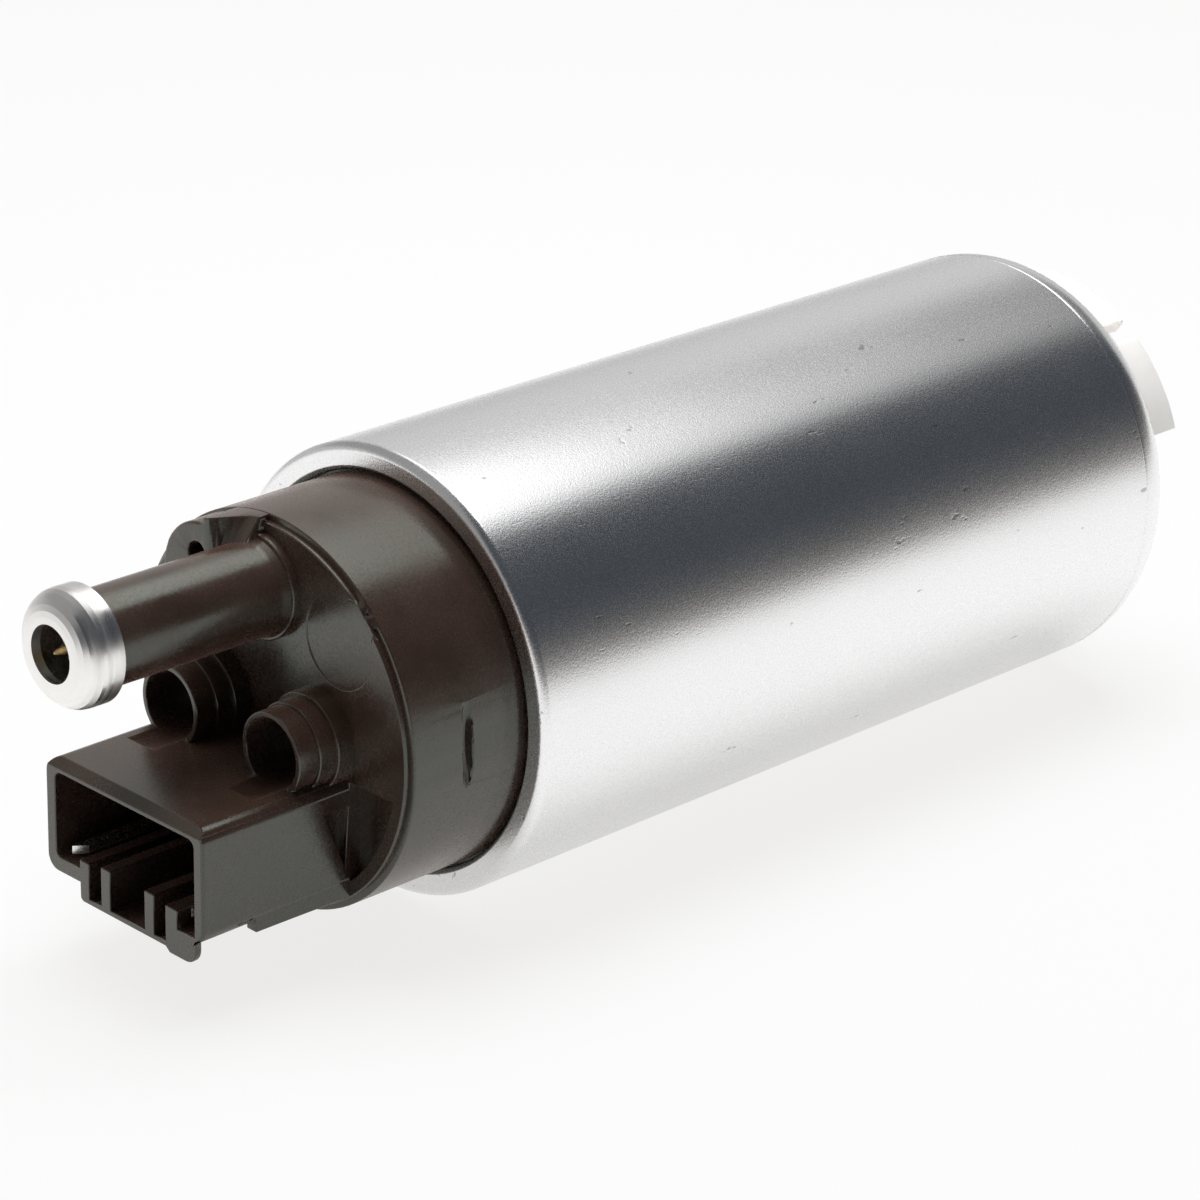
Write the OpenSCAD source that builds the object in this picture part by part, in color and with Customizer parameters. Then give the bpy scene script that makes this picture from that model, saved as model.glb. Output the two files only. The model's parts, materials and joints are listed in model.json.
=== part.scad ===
// In-tank electric fuel pump, lying on its side.
// The pump's axis is X. The outlet and the wiring socket are at -X, the inlet is at +X and +Z is up.
// The origin is on the can's axis, midway between the can's two rolled ends. Lengths are in mm.

/* [Can] */
// Outside diameter of the steel can
can_d = 39; // [38:0.5:44]
// Length of the can over its two rolled ends
can_len = 80.5; // [78:0.5:95]
// Sheet thickness of the can
can_wall = 1.2; // [0.8:0.1:1.4]
// Outside radius of the rolled corner at the outlet end
front_roll_r = 0.8; // [0.6:0.1:1.2]
// Outside radius of the rolled corner at the inlet end
rear_roll_r = 4.5; // [4:0.1:5]
// How far the rolled edge at the outlet end reaches in past the can's bore
front_lip = 1.2; // [1:0.1:1.6]
// How far the rolled edge at the inlet end reaches in past the can's bore
rear_lip = 1.3; // [1:0.1:1.6]

/* [Outlet cover] */
// How far the cover's face stands out of the can
cover_proud = 12.2; // [10:0.2:16]
// Width of the bevel round the cover's face
cover_bevel = 1.1; // [0.6:0.1:1.6]
// Thickness of the cover's flange inside the can
flange_t = 5; // [4.5:0.1:7]

/* [Outlet tube] */
// Outside diameter of the outlet tube, for an 8 mm hose
tube_d = 8; // [7.6:0.1:8.4]
// Bore of the outlet tube
tube_bore_d = 5.2; // [5:0.1:5.4]
// How far the outlet tube's metal tip stands out of the cover's face
outlet_proud = 21.4; // [20:0.2:28]
// Sideways place of the outlet tube
tube_y = 0.5; // [0:0.1:0.8]
// Distance of the tube's middle from the top of the cover
tube_edge = 5.9; // [5.5:0.1:6.3]
// Radius of the metal tip's bead
bead_r = 4.9; // [4.7:0.1:5.4]
// Length of the metal tip
ferrule_len = 3.6; // [3.2:0.1:5]
// Diameter of the passage behind the check valve
passage_d = 4.4; // [4:0.1:4.6]

/* [Relief valve] */
// Place of the relief valve's tower round the cover, in degrees up from the side
tower_angle = 67.5; // [66:0.5:69]
// Diameter of the relief valve's ball
ball_d = 3.4; // [3:0.1:3.6]
// How far the relief valve's tower stands out of the cover's face
tower_proud = 3.1; // [2.4:0.1:5]

/* [Brushes] */
// Distance of each brush from the axis
brush_y = 6.3; // [6.3:0.1:6.8]
// Width across the square brush
brush_w = 4.1; // [3.8:0.1:4.2]
// Length of a new brush
brush_len = 9; // [7:0.5:11]
// Outside radius of the brush towers at their mouths
brush_tower_r = 3.5; // [3.4:0.1:3.7]
// How far the brush towers stand out of the cover's face
brush_tower_proud = 5.2; // [4:0.2:7]

/* [Wiring socket] */
// Width of the socket over its side walls
socket_w = 19.6; // [18.6:0.2:20]
// Height of the socket's roof, below the axis
socket_top = 2.5; // [2.4:0.1:3]
// Height of the socket's lower edge, below the axis
socket_bottom = 12.4; // [12.2:0.1:12.8]
// How far the socket stands out of the cover's face
socket_proud = 15.1; // [13:0.2:19]
// Wall of the socket
socket_wall = 1.1; // [1:0.1:1.3]
// Width of a terminal's pin
blade_w = 1; // [0.9:0.1:1.2]
// Thickness of the terminals
blade_t = 0.7; // [0.6:0.1:0.8]

/* [Motor] */
// Radius of the armature shaft
shaft_r = 1.6; // [1.5:0.1:1.8]
// Number of armature slots and commutator bars
slots = 8; // [6:1:10]
// Gap between the armature and the magnets
air_gap = 0.6; // [0.4:0.1:1]
// Thickness of the magnets
magnet_t = 3.2; // [2.6:0.1:3.6]
// Angle that one magnet covers
magnet_angle = 132; // [110:2:140]

/* [Gerotor] */
// Number of lobes on the outer rotor, one more than on the inner rotor
lobes = 7; // [6:1:8]
// Distance between the two rotors' axes
ecc = 0.9; // [0.8:0.05:0.9]
// Wall of the outer rotor behind its pockets
outer_wall = 1.9; // [1.5:0.1:2.1]
// Radius of each outer lobe
lobe_r = 2.2; // [2:0.1:2.2]
// Thickness of the rotors
rotor_t = 6; // [5:0.5:7]

/* [Inlet cover] */
// Bore of the inlet
inlet_d = 8.4; // [8:0.1:8.8]
// Outside diameter of the inlet's spigot
spigot_d = 11.2; // [10.8:0.1:11.6]
// How far below the axis the inlet lies
inlet_drop = 8.4; // [8.2:0.1:9]
// How far the raised rim and the spigot stand out of the can
rim_proud = 4.2; // [3:0.1:6]

/* [Clearances] */
// Radial gap between a cover and the rolled edge round it
lip_gap = 0.2; // [0.1:0.05:0.3]
// Radial gap of parts that sit in the can
seat_gap = 0.1; // [0.05:0.01:0.15]
// Radial gap of a shaft or a rotor that runs
run_gap = 0.04; // [0.02:0.01:0.06]
// Gap beside a part that slides
slide_gap = 0.05; // [0.03:0.01:0.1]

/* [Hidden] */

// Roundness of true circles, and points on a drawn quarter arc
$fn = 64;
arc_n = 6;
eps = 0.01;
// Gap between pieces that are pressed together
snug = 0.02;

// The can's own radii and stations along X
can_r = can_d / 2;
bore_r = can_r - can_wall;
front_x = -can_len / 2;
rear_x = can_len / 2;
front_hole_r = bore_r - front_lip;
cover_r = front_hole_r - lip_gap;
rear_hole_r = bore_r - rear_lip;
rim_r = rear_hole_r - lip_gap;
rear_roll_c = can_r - rear_roll_r;
rear_roll_end = acos((rear_hole_r - rear_roll_c) / rear_roll_r);
roll_x = rear_x - rear_roll_r * sin(rear_roll_end);
lip_x = front_x + can_wall;

// The outlet cover's stations
face_x = front_x - cover_proud;
flange_x = lip_x + flange_t;
block_len = 4;
block_x = flange_x + block_len;
block_r = 10.2;
fit_r = bore_r - seat_gap;
groove_depth = 1.5;
groove_w = 2;
groove_land = 0.8;
seal_t = seat_gap + groove_depth - 2 * snug;

// The outlet tube and its check valve
tube_z = cover_r - tube_edge;
tube_r = tube_d / 2;
tube_bore_r = tube_bore_d / 2;
passage_r = passage_d / 2;
tip_x = face_x - outlet_proud;
ferrule_wall = 0.9;
tube_end_x = tip_x + ferrule_wall;
nose_r = 2.95;
mouth_r = 2.4;
guide_x = tube_end_x + 2.2;
guide_t = 1.6;
stem_r = 0.8;
poppet_head_r = tube_bore_r - 0.4;
poppet_head_t = 0.4;
poppet_seal_t = 0.5;
poppet_seal_r = poppet_head_r + 0.1;
seat_hole_r = passage_r - 0.5;
seat_out = 6;
seat_x = face_x - seat_out;
seat_end_x = seat_x + tube_bore_r - seat_hole_r;
seal_edge_x = seat_x + tube_bore_r - poppet_seal_r - snug * sqrt(2);
poppet_seal_x = seal_edge_x - poppet_seal_t / 2;
poppet_seal_end_x = poppet_seal_x + poppet_seal_t;
poppet_x = poppet_seal_x - poppet_head_t;

// The relief valve
relief_bore_r = ball_d / 2 + 0.35;
tower_x = face_x - tower_proud;
tower_wall = 1.4;
tower_r = 4.9;
tower_ring_r = cover_r - tower_r - 0.2;
tower_y = tower_ring_r * cos(tower_angle);
tower_z = tower_ring_r * sin(tower_angle);
relief_shift = 1.1;
relief_y = tower_y + relief_shift;
relief_z = tower_z + relief_shift;
vent_r = 1;
relief_seat_x = flange_x - 10;
relief_seat_t = 4;
relief_hole_r = 1;
ball_x = relief_seat_x - sqrt(pow(ball_d / 2, 2) - pow(relief_hole_r, 2)) - snug;

// The brushes, their springs and the terminals
channel_w = brush_w + 2 * slide_gap;
mouth_bore_r = channel_w / 2 * sqrt(2) + 0.03;
comm_gap = 1;
comm_x = block_x + comm_gap;
brush_lift = 0.15;
brush_x = comm_x - brush_lift;
brush_back_x = brush_x - brush_len;
spring_room = 9;
channel_x = brush_back_x - spring_room;
riser_depth = 0.8;
riser_x = face_x + riser_depth;
riser_w = 2.8;
finger_w = 2;
finger_top = 2.3;
brush_tower_x = face_x - brush_tower_proud;
brush_spring_r = 1.5;
brush_spring_wire = 0.4;
socket_x = face_x - socket_proud;
socket_back = 2.1;
floor_t = 1.3;
socket_floor = floor_t - socket_bottom;
blade_depth = 0.6;
blade_x = socket_x + blade_depth;
blade_y = brush_y + (riser_w - blade_w) / 2;
blade_z = socket_floor + blade_t;

// The commutator and the armature
bar_t = 1.6;
base_t = 2.5;
bar_over = 0.8;
bar_under = 0.9;
comm_r = brush_y + brush_w / 2 + bar_over;
comm_hole_r = brush_y - brush_w / 2 - bar_under;
comm_end_x = comm_x + bar_t + base_t;
coil_t = 4.9;
insulator_t = 0.8;
ring_r = bore_r - seat_gap;
ring_wall = 1.3;
magnet_or = ring_r - ring_wall - 0.05;
magnet_ir = magnet_or - magnet_t;
core_r = magnet_ir - air_gap;
core_x = comm_end_x + coil_t;
washer_t = 0.5;
end_play = 0.2;

// The pumping stack, from the inlet cover back towards the motor
stack_room = 3.7;
stack_x = roll_x - stack_room;
inlet_plate_t = 3;
outlet_plate_t = 4;
ring_x = stack_x - inlet_plate_t - rotor_t;
plate_x = ring_x - outlet_plate_t;
boss_len = 4;
boss_x = plate_x - boss_len;
boss_r = 5.4;
washer_x = boss_x - end_play - washer_t;
core_end_x = washer_x - coil_t - 0.2;
side_gap = 0.04;
inner_n = lobes - 1;
ring_space = 6.2;
outer_r = fit_r - ring_space;
root_r = outer_r - outer_wall;
lobe_ring_r = root_r - 0.1 + lobe_r - 2 * ecc;
coupling_r = 5;
coupling_t = 2;
tang_r = 0.8;
tang_len = 3;
tang_ring_r = 3.6;
tang_n = 3;
kidney_r = lobe_ring_r - lobe_r + ecc / 2;
kidney_w = 2.2;
kidney_angle = 62;
pin_r = 1.25;
pin_edge = 2.8;
pin_ring_r = fit_r - pin_edge;

// Puts a profile of radius against place along X round the pump's axis
module turned(y = 0, z = 0) {
    translate([0, y, z]) rotate([0, 90, 0]) rotate_extrude() children();
}

// A profile drawn with points of [place along X, radius]
module profile(points) {
    polygon([for (p = points) [p[1], p[0]]]);
}

// Points of an arc, as [place along X, radius], from one angle to another
function arc(x, r, size, from, to, n = arc_n) =
    [for (i = [0 : n]) [x + size * cos(from + (to - from) * i / n),
                        r + size * sin(from + (to - from) * i / n)]];

// Draws a shape of the YZ plane as a prism from x0 to x1
module prism(x0, x1) {
    translate([x0, 0, 0]) rotate([90, 0, 90]) linear_extrude(x1 - x0) children();
}

// A solid cylinder along X
module rod(x0, x1, r, y = 0, z = 0) {
    translate([x0, y, z]) rotate([0, 90, 0]) cylinder(h = x1 - x0, r = r);
}

// A cone along X
module cone(x0, x1, r0, r1, y = 0, z = 0) {
    translate([x0, y, z]) rotate([0, 90, 0]) cylinder(h = x1 - x0, r1 = r0, r2 = r1);
}

// A box given by its low and high corners
module block(low, high) {
    translate(low) cube(high - low);
}

// A rectangle of the YZ plane with round corners
module round_rect(y0, z0, y1, z1, r) {
    translate([y0 + r, z0]) square([y1 - y0 - 2 * r, z1 - z0]);
    translate([y0, z0 + r]) square([y1 - y0, z1 - z0 - 2 * r]);
    for (y = [y0 + r, y1 - r], z = [z0 + r, z1 - r]) translate([y, z]) circle(r);
}

// Part of a ring in the YZ plane, round the +Y direction
module ring_part(r0, r1, angle) {
    far = 2 * r1;
    intersection() {
        difference() {
            circle(r1);
            circle(r0);
        }
        polygon([[0, 0], [far * cos(angle / 2), -far * sin(angle / 2)], [far, 0],
                 [far * cos(angle / 2), far * sin(angle / 2)]]);
    }
}

// A round-ended slot that follows a circle, round the +Y direction
function polar(r, a) = [r * cos(a), r * sin(a)];
function slot_side(r, from, to) =
    [for (i = [0 : 2 * arc_n]) polar(r, from + (to - from) * i / (2 * arc_n))];
function slot_end(r, w, at, from) =
    [for (i = [1 : arc_n - 1]) polar(r, at) + polar(w / 2, from + 180 * i / arc_n)];

module kidney(r, w, angle) {
    half = angle / 2;
    polygon(concat(slot_side(r + w / 2, -half, half), slot_end(r, w, half, half),
        slot_side(r - w / 2, half, -half), slot_end(r, w, -half, 180 - half)));
}

// Points on the middle line of a coil spring along X, with its closed ends as flat turns
function coil_x(t, turns, len, wire) =
    t < 1 ? wire / 2 + end_rise(wire) * t :
    t > turns - 1 ? len - wire / 2 - end_rise(wire) * (turns - t) :
    wire / 2 + end_rise(wire) + (len - wire - 2 * end_rise(wire)) * (t - 1) / (turns - 2);
function end_rise(wire) = wire + 0.45;
function coil_point(t, turns, r, len, wire) =
    [coil_x(t, turns, len, wire), r * cos(360 * t), r * sin(360 * t)];

// Least distance between the coil's middle line and itself one turn on, less the wire
function coil_gap(turns, r, len, wire, n = 8) =
    min([for (i = [0 : n * (turns - 1)])
        norm(coil_point(i / n, turns, r, len, wire) - coil_point(i / n + 1, turns, r, len, wire))]) - wire;

// One unbroken tube of six sides along the coil, with eight rings to a turn
module spring(x, y, z, turns, r, len, wire) {
    n = 8;
    sides = 6;
    rings = n * turns;
    points = [for (i = [0 : rings]) let (t = i / n, c = coil_point(t, turns, r, len, wire), a = 360 * t)
        for (k = [0 : sides - 1]) let (b = 360 * k / sides)
            c + wire / 2 * [sin(b), cos(b) * cos(a), cos(b) * sin(a)]];
    sheath = [for (i = [0 : rings - 1], k = [0 : sides - 1]) let (
            a = i * sides + k, b = i * sides + (k + 1) % sides, c = a + sides, d = b + sides)
        each [[a, b, d], [a, d, c]]];
    caps = [for (k = [1 : sides - 2]) each [[0, k + 1, k],
        [rings * sides, rings * sides + k, rings * sides + k + 1]]];
    translate([x, y, z]) polyhedron(points, concat(sheath, caps));
}

// The can

module can() {
    soft = 0.4;
    mark_w = 0.4;
    mark_depth = 0.08;
    color([0.72, 0.73, 0.75]) turned() profile(concat(
        [[lip_x, bore_r - soft], [lip_x, front_hole_r], [front_x + soft, front_hole_r],
         [front_x, front_hole_r + soft]],
        arc(front_x + front_roll_r, can_r - front_roll_r, front_roll_r, 180, 90),
        // Witness line where the rear roll starts
        [[roll_x - mark_w, can_r], [roll_x - mark_w / 2, can_r - mark_depth]],
        arc(roll_x, rear_roll_c, rear_roll_r, 90, 90 - rear_roll_end),
        arc(roll_x, rear_roll_c, rear_roll_r - can_wall,
            asin((rear_hole_r - rear_roll_c) / (rear_roll_r - can_wall)), 90),
        [[lip_x + soft, bore_r]]));
}

// The outlet cover: one moulding with the tube, the towers and the socket

module cover_body() {
    turned() profile([[block_x, 0], [block_x, block_r], [flange_x, block_r], [flange_x, fit_r],
        [lip_x + groove_w * 2, fit_r], [lip_x + groove_w * 2, fit_r - groove_depth],
        [lip_x + groove_w, fit_r - groove_depth], [lip_x + groove_w, fit_r],
        [lip_x + 0.5, fit_r], [lip_x + snug, fit_r - 0.5], [lip_x + snug, cover_r],
        [face_x + cover_bevel, cover_r], [face_x, cover_r - cover_bevel], [face_x, 0]]);
}

module relief_tower() {
    intersection() {
        union() {
            rod(tower_x, face_x + eps, tower_r, tower_y, tower_z);
            block([tower_x, tube_y, tube_z - 1], [face_x + eps, tower_y, cover_r]);
        }
        rod(tower_x - 1, face_x + 1, cover_r);
    }
}

module outlet_tube() {
    rod(tube_end_x, face_x + eps, tube_r, tube_y, tube_z);
    rod(face_x - 0.8, face_x + eps, tube_r + 0.5, tube_y, tube_z);
    cone(face_x - 1.9, face_x - 0.8, tube_r, tube_r + 0.25, tube_y, tube_z);
}

// Each brush tower has two steps, given as [share of its height, what they add to its radius]
module brush_tower(side) {
    for (step = [[1, 0], [0.62, 0.25], [0.32, 0.65]])
        rod(face_x - brush_tower_proud * step[0], face_x + eps, brush_tower_r + step[1], side * brush_y);
}

// The socket: a rounded box with a channel under its floor, off centre, that keys the plug
socket_corner = 1.3;
key_left = 5.7;
key_left_wall = 1.2;
key_right = blade_y - blade_w / 2 - 0.1;
key_right_wall = 1.5;
key_drop = 1.6;
key_floor_t = 0.5;
key_bottom = -socket_bottom - key_drop;
deep_floor = socket_floor - 0.85;

module socket_outline() {
    round_rect(-socket_w / 2, -socket_bottom, socket_w / 2, -socket_top, socket_corner);
    round_rect(-key_right, key_bottom, key_left, socket_floor, 0.5);
}

module socket_cavity() {
    inner = socket_w / 2 - socket_wall;
    round_rect(-inner, socket_floor, inner, -socket_top - socket_wall, 0.7);
    // The floor is lower on one side of the channel
    translate([-inner, deep_floor]) square([inner - key_right, 2]);
    translate([-key_right + key_right_wall, key_bottom + key_floor_t])
        square([key_left - key_left_wall + key_right - key_right_wall, 4]);
}

// A rib along the socket, from the channel's floor up into the cavity
module rail(y0, y1, top) {
    block([socket_x, y0, key_bottom + key_floor_t / 2], [face_x - socket_back + eps, y1, socket_floor + top]);
}

// The channel's two walls stand a little above the floor, and two rails guide the plug between them
module rails() {
    rail_half = 0.6;
    rail(key_left - key_left_wall, key_left, 0.75);
    rail(-key_right, -key_right + key_right_wall, 0.75);
    for (y = [-3.1, 2.4]) rail(y - rail_half, y + rail_half, 1.05);
}

// Plate across the front of the channel's corner, with one round corner
module front_lug() {
    low = key_bottom - 0.4;
    high = -socket_bottom + 0.2;
    near = key_right_wall - key_right;
    far = -socket_w / 2 + 0.9;
    prism(socket_x, socket_x + 0.6) polygon(concat([[near, high], [near, key_bottom], [near - 0.5, low]],
        arc(far + socket_corner, low + socket_corner, socket_corner, 270, 180), [[far, high]]));
}

// Notch and foot in each lower edge
notch_out = 11.4;
notch_len = 1.6;
foot_out = 9.6;
foot_drop = 0.6;
foot_w = 1.2;

module socket() {
    edge_y = socket_w / 2;
    difference() {
        prism(socket_x, face_x + eps) socket_outline();
        prism(socket_x - 1, face_x - socket_back) socket_cavity();
        // Chamfer along the roof's front edge
        translate([socket_x, 0, -socket_top]) rotate([0, 45, 0]) cube([1, 2 * socket_w, 1], center = true);
        for (side = [-1, 1]) side_recess(side);
        for (side = [-1, 1])
            block([face_x - notch_out, side * edge_y - 0.7, -socket_bottom - 0.1],
                  [face_x - notch_out + notch_len, side * edge_y + 0.7, -socket_bottom + 0.8]);
    }
    rails();
    front_lug();
    for (side = [-1, 1]) translate([0, side * (edge_y - foot_w / 2 - 0.15), 0])
        block([face_x - foot_out, -foot_w / 2, -socket_bottom - foot_drop],
              [face_x + eps, foot_w / 2, -socket_bottom + foot_w]);
}

// Triangular recess where a side wall meets the cover
module side_recess(side) {
    depth = 0.8;
    reach = 2.6;
    top = -socket_top - 2.5;
    translate([0, side * (socket_w / 2 - depth / 2 + 0.1), 0]) rotate([90, 0, 0])
        linear_extrude(depth + 0.2, center = true)
            polygon([[face_x - reach, top], [face_x - 0.05, top], [face_x - 0.4, top - 2 * reach]]);
}

// Shallow pocket in the cover's face, beside the socket
module face_pocket(side) {
    depth = 1.1;
    prism(face_x - 1, face_x + depth) intersection() {
        circle(cover_r - cover_bevel - 0.6);
        translate([side * cover_r, -(socket_top + socket_bottom) / 2])
            square([2 * cover_r - socket_w, socket_bottom - socket_top - 0.8], center = true);
    }
}

// The square brush channel, open at the mouth as a round bore
module brush_way(side) {
    y = side * brush_y;
    rod(brush_tower_x - 3, channel_x, mouth_bore_r, y);
    block([channel_x - 1, y - channel_w / 2, -channel_w / 2],
          [block_x + 1, y + channel_w / 2, channel_w / 2]);
}

// Room in the moulding for a terminal
module terminal_way(side) {
    g = snug;
    y = side * brush_y;
    pin_mid = side * blade_y;
    block([riser_x - g, y - riser_w / 2 - g, blade_z - blade_t / 2 - g],
          [riser_x + blade_t + g, y + riser_w / 2 + g, 0]);
    block([riser_x - g, y - finger_w / 2 - g, 0],
          [riser_x + blade_t + g, y + finger_w / 2 + g, finger_top + g]);
    block([face_x - socket_back - 1, pin_mid - blade_w / 2 - g, blade_z - blade_t / 2 - g],
          [riser_x + blade_t, pin_mid + blade_w / 2 + g, blade_z + blade_t / 2 + g]);
}

module outlet_way() {
    rod(tube_end_x - 1, seat_x, tube_bore_r, tube_y, tube_z);
    cone(seat_x, seat_end_x, tube_bore_r, seat_hole_r, tube_y, tube_z);
    rod(seat_end_x - eps, seat_end_x + 2, seat_hole_r, tube_y, tube_z);
    rod(seat_end_x + 1.5, block_x + 1, passage_r, tube_y, tube_z);
}

module relief_way() {
    rod(tower_x + tower_wall, relief_seat_x + relief_seat_t, relief_bore_r, relief_y, relief_z);
    rod(relief_seat_x + relief_seat_t - eps, flange_x + 1, relief_bore_r - 0.5, relief_y, relief_z);
    rod(tower_x - 1, tower_x + tower_wall + 1, vent_r, relief_y - 0.4, relief_z + 1);
}

// Shallow moulded dent in the cover's side, midway between its face and the can
dent_r = 0.5;
dent_depth = 0.42;

module side_dent() {
    rotate([177.5, 0, 0]) translate([(front_x + face_x) / 2 + 0.2, cover_r + dent_r - dent_depth, 0])
        cylinder(h = cover_r, r = dent_r, center = true);
}

// Shallow round recess in the cover's face, beside the tube
dish_r = 3.9;
dish_y = -8.5;
dish_z = 8.8;
dish_depth = 0.3;

module outlet_cover() {
    color([0.1, 0.09, 0.09]) difference() {
        union() {
            cover_body();
            relief_tower();
            outlet_tube();
            for (side = [-1, 1]) brush_tower(side);
            socket();
        }
        for (side = [-1, 1]) brush_way(side);
        for (side = [-1, 1]) terminal_way(side);
        outlet_way();
        relief_way();
        side_dent();
        for (side = [-1, 1]) face_pocket(side);
        rod(front_bearing_x - 0.6, block_x + 1, bearing_r + snug);
        rod(face_x - 1, face_x + dish_depth, dish_r, dish_y, dish_z);
    }
}

module ring_seal(x) {
    turned() translate([fit_r - groove_depth + seal_t / 2 + snug, x]) circle(seal_t / 2, $fn = 32);
}

module outlet_cover_seal() {
    color([0.08, 0.08, 0.08]) ring_seal(lip_x + 1.5 * groove_w);
}

module outlet_ferrule() {
    rear = tip_x + ferrule_len;
    color([0.82, 0.82, 0.83]) turned(tube_y, tube_z) profile(concat(
        [[tip_x, mouth_r], [tip_x, nose_r]],
        [for (i = [1 : arc_n]) let (a = 90 * i / arc_n)
            [tip_x + 2 * (1 - cos(a)), nose_r + (bead_r - nose_r) * sin(a)]],
        [[rear - 0.15, bead_r], [rear, bead_r - 0.2], [rear, tube_r + snug],
         [tube_end_x - snug, tube_r + snug], [tube_end_x - snug, mouth_r]]));
}

// Three-armed guide for the check valve's stem, held in the tube
module check_valve_guide() {
    color([0.85, 0.83, 0.78]) prism(guide_x, guide_x + guide_t) translate([tube_y, tube_z]) {
        difference() {
            union() {
                difference() {
                    circle(tube_bore_r - snug);
                    circle(tube_bore_r - 0.5);
                }
                circle(stem_r + 0.5);
                for (k = [0 : 2]) rotate(120 * k + 30) translate([0, -0.3]) square([tube_bore_r - 0.2, 0.6]);
            }
            circle(stem_r + slide_gap);
        }
    }
}

module check_valve_poppet() {
    color([0.8, 0.66, 0.36]) turned(tube_y, tube_z) profile([
        [tip_x + 0.3, 0], [tip_x + 0.4, 0.12], [tip_x + 2.1, stem_r], [poppet_x, stem_r],
        [poppet_x, poppet_head_r], [poppet_seal_x, poppet_head_r],
        [poppet_seal_x, poppet_head_r - 0.5], [poppet_seal_end_x, poppet_head_r - 0.5],
        [poppet_seal_end_x, seat_hole_r - 0.2], [poppet_seal_end_x + 0.4, seat_hole_r - 0.6],
        [poppet_seal_end_x + 0.4, 0]]);
}

module check_valve_seal() {
    color([0.1, 0.1, 0.1]) turned(tube_y, tube_z) profile([
        [poppet_seal_x, poppet_head_r - 0.5], [poppet_seal_x, poppet_seal_r], [seal_edge_x, poppet_seal_r],
        [poppet_seal_end_x, poppet_seal_r - poppet_seal_t / 2], [poppet_seal_end_x, poppet_head_r - 0.5]]);
}

check_spring_len = poppet_x - guide_x - guide_t - 0.1;
check_spring_r = 1.55;
valve_wire = 0.35;
check_turns = 8;

module check_valve_spring() {
    color([0.75, 0.75, 0.76]) spring(guide_x + guide_t + 0.05, tube_y, tube_z, check_turns,
        check_spring_r, check_spring_len, valve_wire);
}

module relief_valve_seat() {
    color([0.8, 0.68, 0.4]) turned(relief_y, relief_z) profile([
        [relief_seat_x, relief_hole_r], [relief_seat_x, relief_bore_r - snug],
        [relief_seat_x + relief_seat_t - snug, relief_bore_r - snug],
        [relief_seat_x + relief_seat_t - snug, relief_hole_r]]);
}

module relief_valve_ball() {
    color([0.8, 0.8, 0.82]) translate([ball_x, relief_y, relief_z]) sphere(ball_d / 2);
}

relief_spring_x = tower_x + tower_wall + 0.05;
relief_spring_r = 1.1;
relief_turns = 7;
relief_spring_end = ball_x - sqrt(pow(ball_d / 2, 2) - pow(relief_spring_r - 0.1, 2)) - 0.1;
relief_spring_len = relief_spring_end - relief_spring_x;

module relief_valve_spring() {
    color([0.75, 0.75, 0.76]) spring(relief_spring_x, relief_y, relief_z, relief_turns, relief_spring_r,
        relief_spring_len, valve_wire);
}

// A pin that widens and turns up inside the cover, and ends in a finger that carries the brush spring
module terminal(side) {
    y = side * brush_y;
    tip = 0.25;
    color([0.85, 0.84, 0.8]) {
        translate([0, side * blade_y, blade_z - blade_t / 2]) linear_extrude(blade_t) polygon([
            [riser_x + blade_t, -blade_w / 2], [riser_x + blade_t, blade_w / 2],
            [blade_x + 2 * tip, blade_w / 2], [blade_x, blade_w / 2 - tip],
            [blade_x, -blade_w / 2 + tip], [blade_x + 2 * tip, -blade_w / 2]]);
        block([riser_x, y - riser_w / 2, blade_z - blade_t / 2], [riser_x + blade_t, y + riser_w / 2, 0]);
        block([riser_x, y - finger_w / 2, -0.5], [riser_x + blade_t, y + finger_w / 2, finger_top]);
    }
}

module terminal_left() {
    terminal(1);
}

module terminal_right() {
    terminal(-1);
}

module brush(side) {
    chamfer = 0.5;
    y = side * brush_y;
    color([0.25, 0.24, 0.24]) difference() {
        block([brush_back_x, y - brush_w / 2, -brush_w / 2], [brush_x, y + brush_w / 2, brush_w / 2]);
        for (edge = [-1, 1]) translate([brush_back_x, y, edge * brush_w / 2]) rotate([0, 45, 0])
            cube([chamfer, 2 * brush_w, chamfer], center = true);
    }
}

module brush_left() {
    brush(1);
}

module brush_right() {
    brush(-1);
}

brush_spring_x = riser_x + blade_t + 0.05;
brush_spring_len = brush_back_x - brush_spring_x - 0.1;
brush_turns = 10;

module brush_spring(side) {
    color([0.75, 0.75, 0.76]) spring(brush_spring_x, side * brush_y, 0, brush_turns,
        brush_spring_r, brush_spring_len, brush_spring_wire);
}

module brush_spring_left() {
    brush_spring(1);
}

module brush_spring_right() {
    brush_spring(-1);
}

// The motor

bearing_r = 3.2;
front_bearing_depth = 6;
rear_bearing_depth = 3;
front_bearing_x = block_x - front_bearing_depth;
front_bearing_end_x = comm_x - 0.3;
flat_depth = 0.4;
shaft_x = front_bearing_x - 0.3;
shaft_end_x = stack_x - inlet_plate_t + coupling_t + 0.1;

module front_bearing() {
    color([0.6, 0.47, 0.3]) turned() profile([
        [front_bearing_x, shaft_r + run_gap], [front_bearing_x, bearing_r - 0.3],
        [front_bearing_x + 0.3, bearing_r], [front_bearing_end_x, bearing_r],
        [front_bearing_end_x, shaft_r + run_gap]]);
}

module rear_bearing() {
    end = plate_x + rear_bearing_depth;
    color([0.6, 0.47, 0.3]) turned() profile([
        [boss_x, shaft_r + run_gap], [boss_x, bearing_r], [end - 0.3, bearing_r],
        [end, bearing_r - 0.3], [end, shaft_r + run_gap]]);
}

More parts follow.
